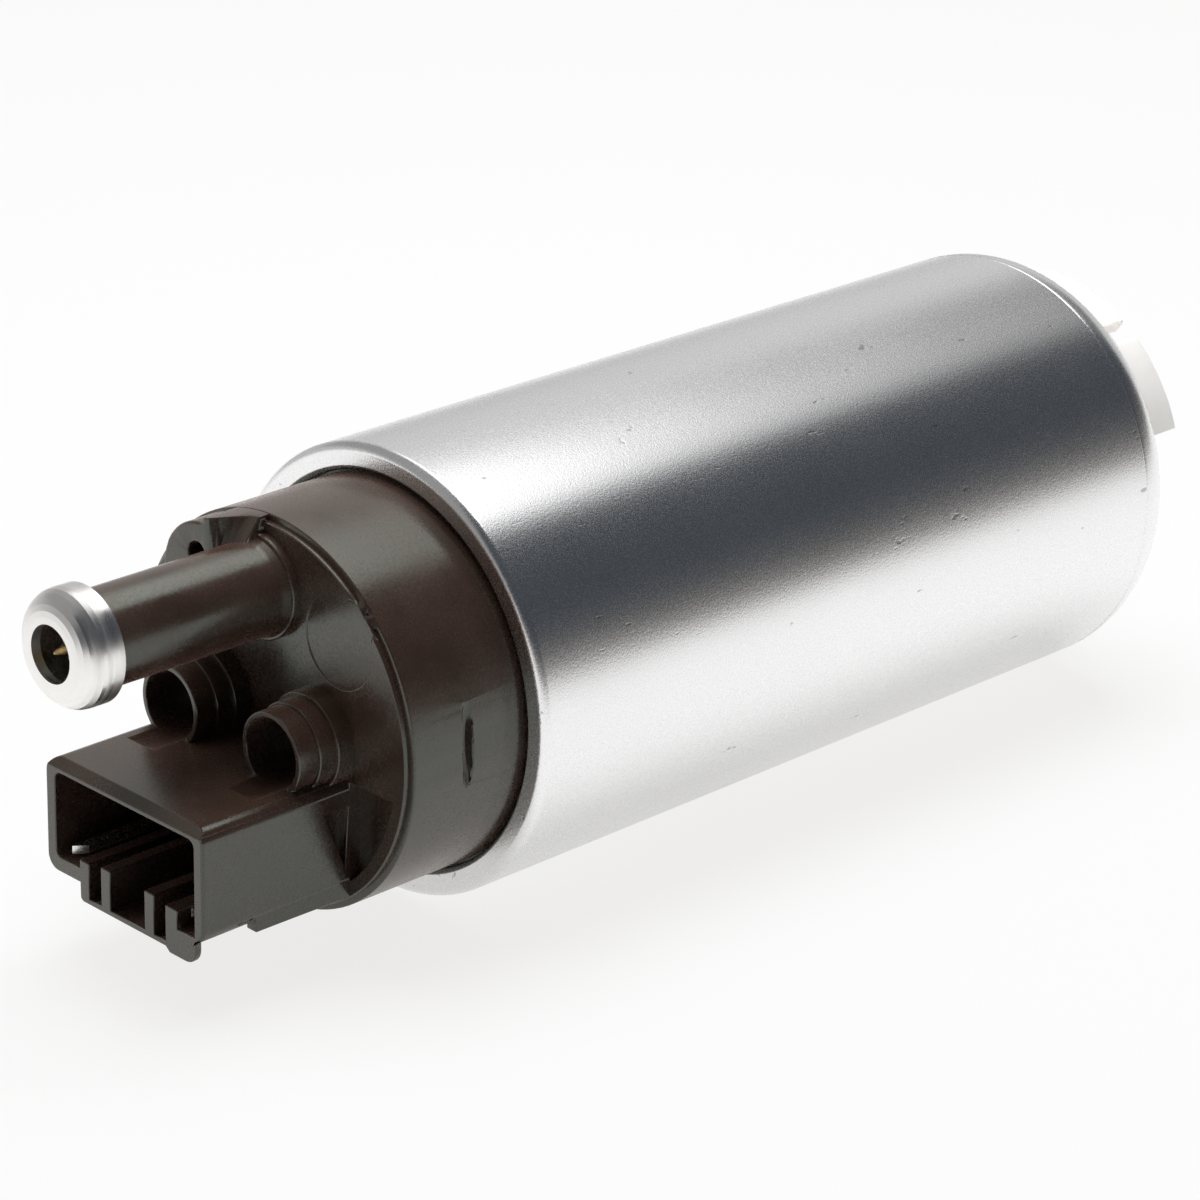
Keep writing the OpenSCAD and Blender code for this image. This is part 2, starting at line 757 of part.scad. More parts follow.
module flux_ring() {
    color([0.5, 0.5, 0.52]) difference() {
        rod(flange_x, plate_x, ring_r);
        rod(flange_x - 1, plate_x + 1, ring_r - ring_wall);
    }
}

module magnet(side) {
    color([0.22, 0.22, 0.24]) prism(core_x - 1.5, core_end_x + 1.5)
        rotate(side > 0 ? 0 : 180) ring_part(magnet_ir, magnet_or, magnet_angle);
}

module magnet_left() {
    magnet(1);
}

module magnet_right() {
    magnet(-1);
}

// Sprung strips that hold the two magnets apart, above and below
module magnet_clips() {
    t = 0.5;
    angle = 179.8 - magnet_angle;
    color([0.55, 0.55, 0.58]) prism(core_x, core_end_x) for (up = [90, 270]) rotate(up) difference() {
        ring_part(magnet_ir + 0.6, magnet_or, angle);
        ring_part(magnet_ir - 1, magnet_or - t, angle - 4);
    }
}

module armature_shaft() {
    c = 0.3;
    color([0.7, 0.7, 0.72]) difference() {
        turned() profile([[shaft_x, 0], [shaft_x, shaft_r - c], [shaft_x + c, shaft_r],
            [shaft_end_x - c, shaft_r], [shaft_end_x, shaft_r - c], [shaft_end_x, 0]]);
        // Flat that drives the coupling
        block([shaft_end_x - coupling_t - 0.5, -shaft_r, shaft_r - flat_depth],
              [shaft_end_x + 1, shaft_r, 2 * shaft_r]);
    }
}

// One armature slot, shrunk by a margin for what lies in it
hub_r = 5.4;
slot_top_r = core_r - 1.5;

module slot_shape(margin = 0) {
    pitch = 360 / slots;
    low = hub_r + margin;
    high = slot_top_r - margin;
    tooth = 1.4 + margin;
    w0 = low * tan(pitch / 2) - tooth / cos(pitch / 2);
    w1 = high * tan(pitch / 2) - tooth / cos(pitch / 2);
    polygon([[low, -w0], [high - 0.6, -w1 + 0.2], [high, -w1 + 1], [high, w1 - 1],
             [high - 0.6, w1 - 0.2], [low, w0]]);
}

module lamination(r, bore, mouth) {
    difference() {
        circle(r);
        circle(bore);
        for (k = [0 : slots - 1]) rotate(360 * k / slots) {
            slot_shape();
            translate([slot_top_r - 0.5, -mouth / 2]) square([4, mouth]);
        }
    }
}

module armature_core() {
    color([0.45, 0.45, 0.47]) prism(core_x, core_end_x) lamination(core_r, shaft_r, 1.6);
}

module core_insulators() {
    color([0.15, 0.35, 0.2]) {
        prism(core_x - insulator_t, core_x) lamination(core_r - 0.8, shaft_r, 2);
        prism(core_end_x, core_end_x + insulator_t) lamination(core_r - 0.8, hub_r - 1.5, 2);
    }
}

module coil_end(x0, x1) {
    c = 1.2;
    inner = hub_r - 0.6;
    outer = slot_top_r - 0.3;
    turned() profile([[x0, inner + c], [x0, outer - c], [x0 + c, outer], [x1, outer],
        [x1, inner], [x0 + c, inner]]);
}

module armature_winding() {
    color([0.72, 0.4, 0.2]) {
        prism(core_x - insulator_t - eps, core_end_x + insulator_t + eps)
            for (k = [0 : slots - 1]) rotate(360 * k / slots) slot_shape(0.15);
        coil_end(core_x - coil_t, core_x - insulator_t);
        mirror([1, 0, 0]) coil_end(-core_end_x - coil_t, -core_end_x - insulator_t);
    }
}

module commutator_bars() {
    color([0.75, 0.45, 0.28]) difference() {
        union() {
            prism(comm_x, comm_x + bar_t) difference() {
                circle(comm_r);
                circle(comm_hole_r);
            }
            for (k = [0 : slots - 1]) rotate([360 * (k + 0.5) / slots, 0, 0])
                block([comm_x + bar_t - 0.8, comm_r - 0.5, -0.8], [comm_x + bar_t, comm_r + 0.9, 0.8]);
        }
        for (k = [0 : slots - 1]) rotate([360 * k / slots, 0, 0])
            block([comm_x - 1, 0, -0.25], [comm_x + bar_t + 1, comm_r + 2, 0.25]);
    }
}

module commutator_base() {
    color([0.3, 0.18, 0.12]) turned() profile([
        [comm_x + 0.4, shaft_r], [comm_x + 0.4, comm_hole_r - 0.02], [comm_x + bar_t, comm_hole_r - 0.02],
        [comm_x + bar_t, comm_r], [comm_end_x, comm_r - 0.6], [comm_end_x, shaft_r]]);
}

module thrust_washers() {
    front = front_bearing_end_x + end_play;
    color([0.9, 0.88, 0.8]) {
        turned() profile([[front, shaft_r], [front, bearing_r - 0.2],
            [comm_x + 0.4, bearing_r - 0.2], [comm_x + 0.4, shaft_r]]);
        // The rear washer has a sleeve that reaches the core
        turned() profile([[core_end_x, shaft_r], [core_end_x, hub_r - 1.6], [washer_x, hub_r - 1.6],
            [washer_x, boss_r - 0.4], [washer_x + washer_t, boss_r - 0.4], [washer_x + washer_t, shaft_r]]);
    }
}

// The pump: a trochoid inner rotor that rolls inside a ring of round lobes

module coupling_tangs(grow) {
    for (k = [0 : tang_n - 1]) rotate(360 * k / tang_n) translate([tang_ring_r, 0]) circle(tang_r + grow);
}

module shaft_section(grow) {
    intersection() {
        circle(shaft_r + grow);
        translate([-2 * shaft_r, -2 * shaft_r]) square([4 * shaft_r, 3 * shaft_r - flat_depth + grow]);
    }
}

module drive_coupling() {
    x0 = stack_x - inlet_plate_t;
    color([0.85, 0.82, 0.7]) {
        prism(x0, x0 + coupling_t) difference() {
            circle(coupling_r);
            shaft_section(0);
        }
        prism(x0 - tang_len, x0 + eps) coupling_tangs(0);
    }
}

// Inner rotor outline: the path of a lobe's centre, drawn inwards by the lobe's radius
inner_points = 24 * inner_n;
rotor_gap = 0.05;
function lobe_path(a) = [lobe_ring_r * cos(a) + ecc * cos(lobes * a),
                         lobe_ring_r * sin(a) + ecc * sin(lobes * a)];
function path_normal(a) = let (v = [lobe_ring_r * cos(a) + lobes * ecc * cos(lobes * a),
                                    lobe_ring_r * sin(a) + lobes * ecc * sin(lobes * a)]) v / norm(v);

module inner_outline() {
    polygon([for (i = [0 : inner_points - 1]) let (a = 360 * i / inner_points)
        lobe_path(a) - (lobe_r + rotor_gap) * path_normal(a)]);
}

module inner_rotor() {
    color([0.55, 0.56, 0.58]) prism(ring_x + side_gap, ring_x + rotor_t - side_gap) difference() {
        inner_outline();
        circle(shaft_r + 0.3);
        coupling_tangs(0.05);
    }
}

module outer_rotor() {
    color([0.5, 0.51, 0.53]) prism(ring_x + side_gap, ring_x + rotor_t - side_gap)
        translate([ecc, 0]) {
            difference() {
                circle(outer_r, $fn = 96);
                circle(root_r, $fn = 96);
            }
            intersection() {
                circle(outer_r - 0.5);
                for (k = [0 : lobes - 1]) rotate(360 * k / lobes) translate([lobe_ring_r, 0]) circle(lobe_r);
            }
        }
}

module pins(grow) {
    for (side = [-1, 1]) translate([0, side * pin_ring_r]) circle(pin_r + grow, $fn = 32);
}

module pump_ring() {
    color([0.62, 0.62, 0.64]) prism(ring_x, ring_x + rotor_t) difference() {
        circle(fit_r);
        translate([ecc, 0]) circle(outer_r + run_gap + snug, $fn = 96);
        pins(snug);
    }
}

module outlet_plate() {
    color([0.75, 0.76, 0.78]) difference() {
        union() {
            prism(plate_x, ring_x) circle(fit_r);
            rod(boss_x, plate_x + eps, boss_r);
        }
        rod(boss_x - 1, plate_x + rear_bearing_depth + snug, bearing_r + snug);
        rod(plate_x, ring_x + 1, shaft_r + 0.4);
        // Outlet port, on the upper side
        prism(plate_x - 1, ring_x + 1) rotate(90) kidney(kidney_r, kidney_w, kidney_angle);
        prism(ring_x - 1.2, ring_x + 1) rotate(-90) kidney(kidney_r, kidney_w, kidney_angle);
        prism(ring_x - 3, ring_x + 1) pins(snug);
    }
}

module inlet_plate() {
    x0 = stack_x - inlet_plate_t;
    color([0.75, 0.76, 0.78]) difference() {
        prism(x0, stack_x) circle(fit_r);
        rod(x0 - 1, x0 + coupling_t + 0.3, coupling_r + 0.3);
        rod(x0, stack_x + 1, pad_r + snug);
        prism(x0 - 1, stack_x + 1) rotate(-90) kidney(kidney_r, kidney_w, kidney_angle);
        prism(x0 - 1, x0 + 1.2) rotate(90) kidney(kidney_r, kidney_w, kidney_angle);
        prism(x0 - 1, stack_x + 1) pins(snug);
    }
}

pad_r = 1.5;

module thrust_pad() {
    color([0.65, 0.65, 0.68]) rod(shaft_end_x + 0.15, stack_x, pad_r);
}

module dowel_pins() {
    color([0.68, 0.68, 0.7]) prism(ring_x - 2.9, stack_x - 0.1) pins(0);
}

// The inlet cover, with the inlet's spigot, a raised rim with two slots and a peg for the strainer

base_x = rear_x - 0.25;
rim_x = rear_x + rim_proud;
rim_wall = 1.8;
slot_w = 2;
slot_angle = 35.5;
peg_r = 1.6;
peg_z = rim_r / 2 + 0.1;
vapour_vent_r = 0.9;
vapour_vent_y = 9.5;
vapour_vent_z = 2;

module rim() {
    difference() {
        prism(base_x - 1, rim_x) rotate(90) ring_part(rim_r - rim_wall, rim_r, 142);
        // Slots through the rim
        for (a = [90 + slot_angle, 90 - slot_angle]) rotate([a, 0, 0])
            block([base_x + 1.2, rim_r - 3, -slot_w / 2], [rim_x + 1, rim_r + 1, slot_w / 2]);
        // Chamfer round the rim's outer edge
        turned() profile([[rim_x - 0.5, rim_r + 0.1], [rim_x + 0.1, rim_r + 0.1],
            [rim_x + 0.1, rim_r - 0.5]]);
    }
}

module cover_shell() {
    shoulder_r = rear_roll_r - can_wall - seat_gap;
    groove_x = stack_x + groove_land;
    turned() profile(concat(
        [[stack_x, 0], [stack_x, fit_r - 0.3], [stack_x + 0.3, fit_r], [groove_x, fit_r],
         [groove_x, fit_r - groove_depth], [groove_x + groove_w, fit_r - groove_depth],
         [groove_x + groove_w, fit_r]],
        arc(roll_x, rear_roll_c, shoulder_r, 90, asin((rim_r - rear_roll_c) / shoulder_r)),
        [[base_x - 0.4, rim_r], [base_x, rim_r - 0.4], [base_x, 0]]));
}

module inlet_cover() {
    spigot_r = spigot_d / 2;
    color([0.93, 0.92, 0.87]) difference() {
        union() {
            cover_shell();
            rim();
            turned(0, -inlet_drop) profile([[base_x - 1, 0], [base_x - 1, spigot_r + 0.5],
                [base_x + 0.4, spigot_r + 0.5], [base_x + 0.9, spigot_r], [rim_x - 0.6, spigot_r],
                [rim_x, spigot_r - 0.6], [rim_x, 0]]);
            // Peg that keys the strainer
            turned(0, peg_z) profile([[base_x - 1, 0], [base_x - 1, peg_r], [rim_x - 1.2, peg_r],
                [rim_x - 0.6, peg_r - 0.6], [rim_x - 0.6, 0]]);
            // Ribs from the peg to the rim and to both sides
            for (a = [90, 30, 150]) rotate([a, 0, 0])
                block([base_x - 1, 0, -0.6], [base_x + 1.2, rim_r - 1, 0.6]);
        }
        // Inlet bore and the chamber behind it
        rod(stack_x + 3, rim_x + 1, inlet_d / 2, 0, -inlet_drop);
        prism(stack_x - 1, stack_x + 3.5) rotate(-90) kidney(kidney_r, kidney_w + 1.4, kidney_angle);
        rod(stack_x - 1, rim_x + 1, vapour_vent_r, vapour_vent_y, vapour_vent_z);
    }
}

module inlet_cover_seal() {
    color([0.08, 0.08, 0.08]) ring_seal(stack_x + groove_land + groove_w / 2);
}

echo(check_spring_gap = coil_gap(check_turns, check_spring_r, check_spring_len, valve_wire),
     relief_spring_gap = coil_gap(relief_turns, relief_spring_r, relief_spring_len, valve_wire),
     brush_spring_gap = coil_gap(brush_turns, brush_spring_r, brush_spring_len, brush_spring_wire));

can();
outlet_cover();
outlet_cover_seal();
outlet_ferrule();
check_valve_guide();
check_valve_poppet();
check_valve_seal();
check_valve_spring();
relief_valve_seat();
relief_valve_ball();
relief_valve_spring();
terminal_left();
terminal_right();
brush_left();
brush_right();
brush_spring_left();
brush_spring_right();
front_bearing();
rear_bearing();
flux_ring();
magnet_left();
magnet_right();
magnet_clips();
armature_shaft();
armature_core();
core_insulators();
armature_winding();
commutator_bars();
commutator_base();
thrust_washers();
drive_coupling();
inner_rotor();
outer_rotor();
pump_ring();
outlet_plate();
inlet_plate();
dowel_pins();
thrust_pad();
inlet_cover();
inlet_cover_seal();
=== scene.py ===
"""In-tank electric fuel pump: its finishes, rounded edges and fine coils, in a plain white studio.

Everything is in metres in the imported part's frame: X along the can towards the inlet, Z up.
"""
import json
import math

import bmesh
import bpy
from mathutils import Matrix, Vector

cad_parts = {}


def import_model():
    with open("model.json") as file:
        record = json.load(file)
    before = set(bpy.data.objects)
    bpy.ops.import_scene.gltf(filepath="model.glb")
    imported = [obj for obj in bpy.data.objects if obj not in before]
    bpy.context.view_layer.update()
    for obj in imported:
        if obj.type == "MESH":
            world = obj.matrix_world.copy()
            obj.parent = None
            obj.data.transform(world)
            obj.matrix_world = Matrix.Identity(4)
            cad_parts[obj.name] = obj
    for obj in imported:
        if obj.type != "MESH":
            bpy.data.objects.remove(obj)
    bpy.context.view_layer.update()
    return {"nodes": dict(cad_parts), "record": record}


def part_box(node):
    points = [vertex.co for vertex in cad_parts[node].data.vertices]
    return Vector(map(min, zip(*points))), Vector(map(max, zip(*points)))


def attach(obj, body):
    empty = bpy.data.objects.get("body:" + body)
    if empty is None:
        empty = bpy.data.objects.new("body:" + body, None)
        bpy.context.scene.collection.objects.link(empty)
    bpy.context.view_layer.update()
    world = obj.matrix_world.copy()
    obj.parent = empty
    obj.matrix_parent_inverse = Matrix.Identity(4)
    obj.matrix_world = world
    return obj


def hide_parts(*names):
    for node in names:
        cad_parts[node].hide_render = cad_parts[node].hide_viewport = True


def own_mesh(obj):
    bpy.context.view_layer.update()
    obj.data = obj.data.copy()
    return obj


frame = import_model()
nodes = frame["nodes"]
SLOT_OF = {part["node"]: part["material_slot"] for part in frame["record"]["subparts"]}
MM = 0.001
# The pump lies on its can
FLOOR_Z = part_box("can")[0].z

# How near a point is to the plane or circle it belongs to
TINY = 0.02 * MM
# Points this near are one point
WELD = 1e-7
# A cut uses the points this near it, and adds no new ones there
CUT_SNAP = 2e-7
PIN_SNAP = 1e-8

# The outlet cover's body, socket, tube and relief tower
COVER_R = 16.9 * MM
FACE_X = -52.45 * MM
SOCKET_X = -67.55 * MM
SOCKET_HALF = 9.8 * MM
TUBE_Y = 0.5 * MM
TUBE_Z = 11 * MM
TUBE_R = 4 * MM
TOWER_X = -55.55 * MM
# The edge round the cover's face in the solid, with the band that holds its inner line
OLD_EDGE_DEPTH = 1.1 * MM
OLD_EDGE_R = COVER_R - OLD_EDGE_DEPTH - TINY
OLD_EDGE_BAND = 0.35 * MM
# The same edge as it shows
EDGE_DEPTH = 0.6 * MM
EDGE_R = 16.35 * MM
# The round dish in the face, by the Y and Z of its middle, and the share of its depth that shows
DISH_Y = -8.5 * MM
DISH_Z = 8.8 * MM
DISH_R = 3.9 * MM
DISH_DEPTH = 0.3 * MM
DISH_KEPT = 0.35
# The dent in the cover's side: the space that holds it, and how many times wider and deeper it shows
DENT_X = -46.15 * MM
DENT_HALF = 0.55 * MM
DENT_Y = -0.8 * COVER_R
DENT_REACH = 5 * MM
DENT_WIDER = 1.15
DENT_DEEPER = 2.3
# The heights at which it is cut, so that it can bend
DENT_CUTS = (-2.4 * MM, -1.2 * MM, 0, 1.2 * MM, 2.4 * MM)
# The relief tower's front slopes back from here to the tube's middle, more at the top than at the tube
RAMP_START = 4.1 * MM
# Where it is cut to bend, as shares of that stretch from the tube's middle on
RAMP_CUTS = (0.15, 0.3, 0.45, 0.6, 0.75, 0.9)
RAMP_LOW = 1.1 * MM
RAMP_HIGH = 2.65 * MM

# Rounded edges: their widths, the angle that still counts as flat, and the shortest edge that is kept
COVER_ROUND = 0.12 * MM
TOWER_ROUND = 0.25 * MM
SOCKET_ROUND = 0.3 * MM
LIP_ROUND = 0.1 * MM
WIDEST_ROUND = 0.35 * MM
FLAT_ANGLE = math.radians(0.3)
SHORTEST = 0.07 * MM

# The slanted cut of each pin: a point on the left one, and the X and Y of its direction
PIN_X = -66.95 * MM
PIN_Y = 7.58 * MM
PIN_SLANT = (-0.6, -0.8)

# A coil's wire: its sides, its steps to a turn, and the gap of the first and the last turn
WIRE_SIDES = 12
WIRE_STEPS = 28
END_GAP = 0.45 * MM


# Node materials

# Grains, blotches and tool rings to the metre, and how the rings are drawn out round X
GRAIN_PER_M = 2600
GRAINS_PER_BLOTCH = 12
BLOTCH_PER_M = 220
RINGS_PER_M = 1800
RING_STRETCH = (1, 0.06, 0.06)
RING_MM = 0.004
# A Mix node's two colours and its result, which share their names with its other kinds
MIX_LOW, MIX_HIGH, MIX_RESULT = 6, 7, 2


class Shader:
    """A Principled material, with short ways to add nodes to it."""

    def __init__(self, name, color, roughness, metallic=0.0, **sockets):
        self.material = bpy.data.materials.new(name)
        self.material.use_nodes = True
        self.tree = self.material.node_tree
        self.bsdf = self.tree.nodes["Principled BSDF"]
        self.bsdf.inputs["Base Color"].default_value = (*color, 1)
        self.bsdf.inputs["Roughness"].default_value = roughness
        self.bsdf.inputs["Metallic"].default_value = metallic
        for socket, value in sockets.items():
            self.bsdf.inputs[socket.replace("_", " ")].default_value = value
        self.place = self.node("ShaderNodeTexCoord").outputs["Object"]

    def node(self, kind, **settings):
        made = self.tree.nodes.new(kind)
        for key, value in settings.items():
            setattr(made, key, value)
        return made

    def link(self, output, target):
        self.tree.links.new(output, target)

    def noise(self, per_m, detail=3.0, stretch=(1, 1, 1), roughness=0.5):
        """Noise from 0 to 1, with so many grains to the metre."""
        spread = self.node("ShaderNodeMapping")
        spread.inputs["Scale"].default_value = stretch
        self.link(self.place, spread.inputs["Vector"])
        made = self.node("ShaderNodeTexNoise")
        made.inputs["Scale"].default_value = per_m
        made.inputs["Detail"].default_value = detail
        made.inputs["Roughness"].default_value = roughness
        self.link(spread.outputs["Vector"], made.inputs["Vector"])
        return made.outputs["Fac"]

    def spread(self, value, low, high, start=0.3, end=0.7):
        """Maps a value from start..end to low..high."""
        made = self.node("ShaderNodeMapRange")
        made.inputs["From Min"].default_value = start
        made.inputs["From Max"].default_value = end
        made.inputs["To Min"].default_value = low
        made.inputs["To Max"].default_value = high
        self.link(value, made.inputs["Value"])
        return made.outputs["Result"]

    def color(self, value, low, high, start=0.35, end=0.65):
        """Colours the surface from low to high by a value, and returns the colour."""
        ramp = self.node("ShaderNodeValToRGB")
        ramp.color_ramp.elements[0].position = start
        ramp.color_ramp.elements[0].color = (*low, 1)
        ramp.color_ramp.elements[1].position = end
        ramp.color_ramp.elements[1].color = (*high, 1)
        self.link(value, ramp.inputs["Fac"])
        self.link(ramp.outputs["Color"], self.bsdf.inputs["Base Color"])
        return ramp.outputs["Color"]

    def combine(self, one, other, operation="ADD"):
        """The sum of two values, or what another operation makes of them."""
        made = self.node("ShaderNodeMath", operation=operation)
        self.link(one, made.inputs[0])
        self.link(other, made.inputs[1])
        return made.outputs[0]

    def rough(self, value):
        self.link(value, self.bsdf.inputs["Roughness"])

    def bump(self, value, height_mm, strength):
        """Adds a bump of that height on top of any that is there."""
        made = self.node("ShaderNodeBump")
        made.inputs["Distance"].default_value = height_mm * MM
        made.inputs["Strength"].default_value = strength
        self.link(value, made.inputs["Height"])
        normal = self.bsdf.inputs["Normal"]
        if normal.is_linked:
            self.link(normal.links[0].from_socket, made.inputs["Normal"])
        self.link(made.outputs["Normal"], normal)

    def show(self, shader):
        """Shows another shader's output in place of the Principled one."""
        self.link(shader, self.tree.nodes["Material Output"].inputs["Surface"])


def can_steel():
    """Bright plated steel with a frosted grain, and the small marks of handling."""
    steel = Shader("can_steel", (0.87, 0.87, 0.865), roughness=0.26, metallic=1.0)
    grain = steel.noise(5600, detail=2, roughness=0.6)
    wide = steel.noise(60, detail=2)
    mark = steel.noise(520, detail=3, stretch=(0.4, 1, 1), roughness=0.75)
    plain = steel.color(grain, (0.8, 0.8, 0.805), (0.96, 0.96, 0.955), start=0.25, end=0.75)
    worn = steel.node("ShaderNodeMix", data_type="RGBA")
    steel.link(steel.spread(mark, 0, 0.6, start=0.69, end=0.72), worn.inputs["Factor"])
    steel.link(plain, worn.inputs[MIX_LOW])
    worn.inputs[MIX_HIGH].default_value = (0.3, 0.29, 0.27, 1)
    steel.link(worn.outputs[MIX_RESULT], steel.bsdf.inputs["Base Color"])
    fine = steel.spread(grain, -0.06, 0.06, start=0.2, end=0.8)
    steel.rough(steel.combine(steel.spread(wide, 0.24, 0.27), fine))
    steel.bump(grain, height_mm=0.016, strength=0.7)
    steel.bump(steel.spread(mark, 0, 1, start=0.67, end=0.72), height_mm=-0.014, strength=0.6)
    return steel.material


def black_plastic():
    """Glass-filled black moulding with a brown cast and a fine satin grain."""
    plastic = Shader("black_plastic", (0.034, 0.019, 0.014), roughness=0.24, IOR=1.5, Specular_IOR_Level=0.9,
                     Specular_Tint=(0.88, 1.0, 0.9, 1), Sheen_Weight=0.3, Sheen_Roughness=0.4,
                     Sheen_Tint=(1.0, 0.62, 0.5, 1))
    fine = plastic.noise(3600, detail=3, roughness=0.75)
    wide = plastic.noise(210, detail=3)
    plastic.color(wide, (0.028, 0.015, 0.01), (0.04, 0.023, 0.017))
    plastic.rough(plastic.combine(plastic.spread(wide, 0.18, 0.27), plastic.spread(fine, -0.07, 0.09)))
    plastic.bump(fine, height_mm=0.016, strength=0.6)
    return plastic.material


def cream_plastic():
    """Unfilled nylon, which lets some light through."""
    nylon = Shader("white_plastic", (0.94, 0.91, 0.875), roughness=0.4, Subsurface_Weight=0.5,
                   Subsurface_Scale=0.002, Subsurface_Radius=(1.0, 0.9, 0.8))
    fine = nylon.noise(GRAIN_PER_M, detail=3)
    wide = nylon.noise(180, detail=3)
    nylon.color(wide, (0.92, 0.885, 0.845), (0.96, 0.935, 0.905))
    nylon.rough(nylon.spread(fine, 0.33, 0.5))
    nylon.bump(fine, height_mm=0.01, strength=0.5)
    return nylon.material


def turned_metal(name, color, dark, roughness):
    """Metal turned about X, with fine tool rings."""
    metal = Shader(name, color, roughness, metallic=1.0)
    rings = metal.noise(RINGS_PER_M, detail=2, stretch=RING_STRETCH)
    blotch = metal.noise(BLOTCH_PER_M, detail=3)
    metal.color(blotch, dark, color)
    metal.rough(metal.spread(rings, roughness * 0.7, roughness * 1.4))
    metal.bump(rings, RING_MM, strength=0.5)
    return metal.material


def grainy(name, color, dark, roughness, height_mm, metallic):
    """A plain surface with colour variation and a fine grain."""
    made = Shader(name, color, roughness, metallic)
    fine = made.noise(GRAIN_PER_M, detail=4, roughness=0.6)
    blotch = made.noise(GRAIN_PER_M / GRAINS_PER_BLOTCH, detail=3)
    made.color(blotch, dark, color)
    made.rough(made.spread(fine, roughness * 0.8, roughness * 1.25))
    made.bump(fine, height_mm, strength=0.5)
    return made.material


# Each slot's light colour, dark colour and roughness
TURNED_METALS = {
    "steel_tip": ((0.9, 0.885, 0.865), (0.84, 0.825, 0.8), 0.3),
    "brass": ((0.74, 0.56, 0.27), (0.66, 0.48, 0.22), 0.25),
    "turned_steel": ((0.66, 0.66, 0.67), (0.58, 0.58, 0.6), 0.2),
}
# The same, with the grain's height in millimetres
PLAIN_METALS = {
    "bronze": ((0.5, 0.34, 0.19), (0.4, 0.27, 0.15), 0.5, 0.02),
    "copper": ((0.72, 0.35, 0.18), (0.6, 0.27, 0.13), 0.32, 0.01),
    "tinned_brass": ((0.93, 0.93, 0.92), (0.86, 0.86, 0.84), 0.25, 0.003),
    "spring_steel": ((0.66, 0.66, 0.68), (0.56, 0.56, 0.58), 0.25, 0.01),
    "sheet_steel": ((0.45, 0.45, 0.47), (0.36, 0.36, 0.38), 0.4, 0.01),
    "sintered_steel": ((0.38, 0.38, 0.4), (0.28, 0.28, 0.3), 0.5, 0.02),
    "aluminium": ((0.76, 0.77, 0.78), (0.68, 0.69, 0.7), 0.4, 0.01),
}
PLAIN_OTHERS = {
    "resin": ((0.2, 0.09, 0.045), (0.14, 0.065, 0.03), 0.5, 0.01),
    "insulation": ((0.07, 0.22, 0.11), (0.05, 0.17, 0.085), 0.55, 0.01),
    "carbon": ((0.06, 0.06, 0.062), (0.04, 0.04, 0.042), 0.6, 0.02),
    "rubber": ((0.022, 0.022, 0.022), (0.015, 0.015, 0.015), 0.55, 0.006),
    "ferrite": ((0.1, 0.1, 0.105), (0.07, 0.07, 0.074), 0.6, 0.02),
}
FINISHES = {"steel_can": can_steel(), "black_plastic": black_plastic(), "white_plastic": cream_plastic()}
FINISHES.update({slot: turned_metal(slot, *look) for slot, look in TURNED_METALS.items()})
FINISHES.update({slot: grainy(slot, *look, metallic=1.0) for slot, look in PLAIN_METALS.items()})
FINISHES.update({slot: grainy(slot, *look, metallic=0.0) for slot, look in PLAIN_OTHERS.items()})


def dress(mesh, slot):
    """Gives a mesh the one material of its slot."""
    mesh.materials.clear()
    mesh.materials.append(FINISHES[slot])


for node, thing in nodes.items():
    dress(thing.data, SLOT_OF[node])


# Pieces with finer forms than the solids

def piece_from(mesh, node, ending, body):
    """Adds a mesh as a piece that rides on a body and stands for a CAD node."""
    made = bpy.data.objects.new(node + ending, mesh)
    bpy.context.scene.collection.objects.link(made)
    dress(mesh, SLOT_OF[node])
    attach(made, body)
    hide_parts(node)
    return made


def opened(node):
    """A copy of a node's mesh, and its form for editing, in which each corner is one point."""
    mesh = nodes[node].data.copy()
    shape = bmesh.new()
    shape.from_mesh(mesh)
    bmesh.ops.remove_doubles(shape, verts=shape.verts, dist=WELD)
    return mesh, shape


def cut_faces(shape, chosen, place, direction):
    """Cuts the faces whose points are all chosen, along a plane, so that they can bend there."""
    parts = {}
    for face in shape.faces:
        if all(chosen(vert.co) for vert in face.verts):
            parts.update(dict.fromkeys([*face.verts, *face.edges, face]))
    bmesh.ops.bisect_plane(shape, geom=list(parts), dist=CUT_SNAP, plane_co=place, plane_no=direction)


def share_of(value, start, end):
    """How far a value is from start to end, from 0 to 1."""
    return min(max((value - start) / (end - start), 0), 1)


def in_dent(point):
    """Whether a point of the cover lies in the dent of its side."""
    return point.y < DENT_Y and abs(point.z) < DENT_REACH and abs(point.x - DENT_X) < DENT_HALF


def on_tower_front(point):
    return abs(point.x - TOWER_X) < TINY


